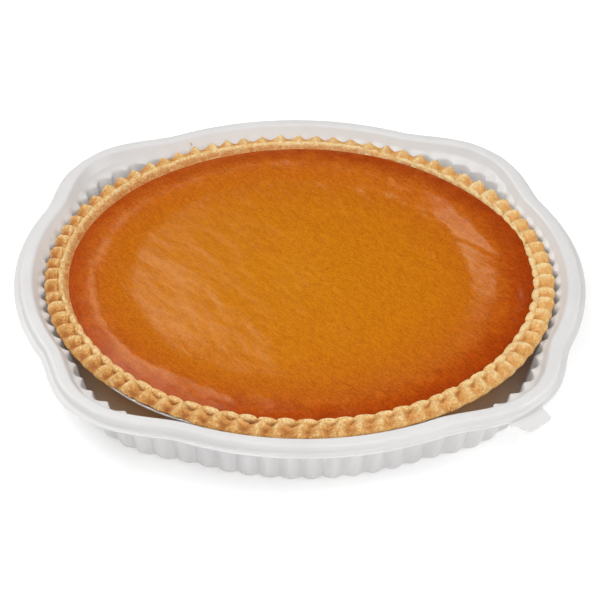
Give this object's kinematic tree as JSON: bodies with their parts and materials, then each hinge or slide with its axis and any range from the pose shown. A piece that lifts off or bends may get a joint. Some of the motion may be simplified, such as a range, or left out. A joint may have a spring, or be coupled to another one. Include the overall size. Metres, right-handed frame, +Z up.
{
  "type": "pumpkin pie",
  "caption": "Round open pie with a twisted rope crust and smooth custard filling, in a foil tin set in a white fluted tray with corner lobes and a finger tab.",
  "frame": {"origin": "middle of the tray's underside, on the surface it stands on", "axes": "+Z up out of the pie, -Y towards the front, +X to the right; the corner lobes lie on the diagonals and the finger tab is at the front right"},
  "size_m": [0.343, 0.343, 0.0411],
  "materials": {
    "tray": "white thermoformed plastic sheet, satin",
    "tin": "bright wrinkled aluminium foil",
    "crust": "golden baked shortcrust pastry, dry and flaky",
    "filling": "baked pumpkin custard, smooth and slightly shiny"
  },
  "bodies": {
    "root": {"tray": "tray", "tin": "tin", "crust": "crust", "filling": "filling"}
  },
  "joints": []
}
